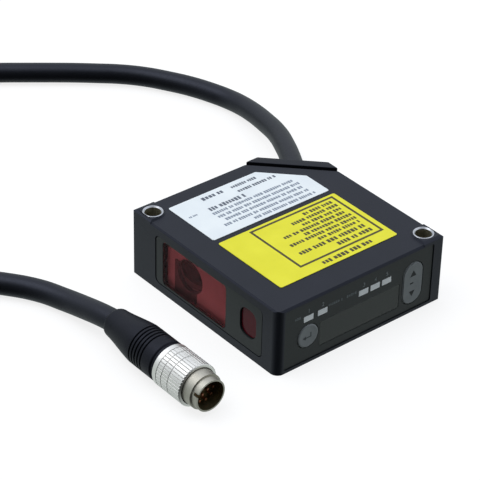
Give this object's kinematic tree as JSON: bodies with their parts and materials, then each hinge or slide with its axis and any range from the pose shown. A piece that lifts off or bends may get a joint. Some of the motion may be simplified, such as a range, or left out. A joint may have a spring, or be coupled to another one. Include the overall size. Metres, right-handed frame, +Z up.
{
  "type": "laser displacement sensor",
  "caption": "Flat dark case with a red receiving window, a laser aperture, a key panel with a display, and a short lead with a round push-pull connector, for measuring distance.",
  "frame": {"origin": "middle of the case's footprint, on the face that it lies on", "axes": "+Z up out of the labelled face, -X out of the optical face, -Y out of the key face"},
  "size_m": [0.1877, 0.2045, 0.0204],
  "materials": {
    "case_plastic": "fine moulded texture",
    "seal_rubber": "matte",
    "front_acrylic": "polished",
    "red_acrylic": "polished, clear red",
    "optical_glass": "polished",
    "cast_alloy": "cast",
    "holder_plastic": "matte black",
    "circuit_board": "solder mask",
    "chip_plastic": "moulded",
    "barrel_brass": "turned",
    "gold_plate": "plated",
    "key_panel": "satin",
    "smoked_acrylic": "smoked",
    "light_acrylic": "frosted",
    "key_plastic": "satin",
    "collar_metal": "turned",
    "label_white": "satin film",
    "label_yellow": "satin film",
    "cable_pvc": "satin",
    "boot_rubber": "matte",
    "nickel": "satin plated"
  },
  "bodies": {
    "case": {"housing": "case_plastic", "base_cover": "case_plastic", "cover_seal": "seal_rubber", "front_panel": "front_acrylic", "receiver_window": "red_acrylic", "emitter_window": "red_acrylic", "optical_base": "cast_alloy", "lens_holder": "holder_plastic", "receiving_lens": "optical_glass", "sensor_board": "circuit_board", "image_sensor": "chip_plastic", "laser_barrel": "barrel_brass", "collimator_lens": "optical_glass", "laser_diode": "gold_plate", "main_board": "circuit_board", "board_chips": "chip_plastic", "board_header": "chip_plastic", "display_board": "circuit_board", "digit_display": "chip_plastic", "tact_switches": "chip_plastic", "rocker_seat": "holder_plastic", "display_panel": "key_panel", "display_window": "smoked_acrylic", "indicator_lights": "light_acrylic", "mounting_collars": "collar_metal", "plate_seal": "seal_rubber", "cable_plate": "case_plastic", "cable_grommet": "boot_rubber", "cable_clamp": "collar_metal", "cable_tail": "cable_pvc", "rating_label": "label_white", "yellow_label": "label_yellow", "cable": "cable_pvc", "connector_boot": "boot_rubber", "connector_body": "nickel", "plug_shell": "nickel", "contact_insert": "chip_plastic", "contact_pins": "gold_plate"},
    "enter_key": {"enter_key": "key_plastic"},
    "up_down_key": {"up_down_key": "key_plastic"},
    "coupling_sleeve": {"coupling_sleeve": "nickel"}
  },
  "joints": [
    {"name": "enter_press", "type": "slide", "parent": "case", "child": "enter_key", "axis": [0, 1, 0], "range_m": [0, 0.00025], "stiffness_N_per_m": 500},
    {"name": "up_down_rock", "type": "hinge", "parent": "case", "child": "up_down_key", "pos_m": [0.0182, -0.028, 0.0094], "axis": [1, 0, 0], "range_deg": [-3, 3], "stiffness_Nm_per_rad": 0.02},
    {"name": "sleeve_slide", "type": "slide", "parent": "case", "child": "coupling_sleeve", "axis": [0, 1, 0], "range_m": [0, 0.0012], "stiffness_N_per_m": 800}
  ]
}
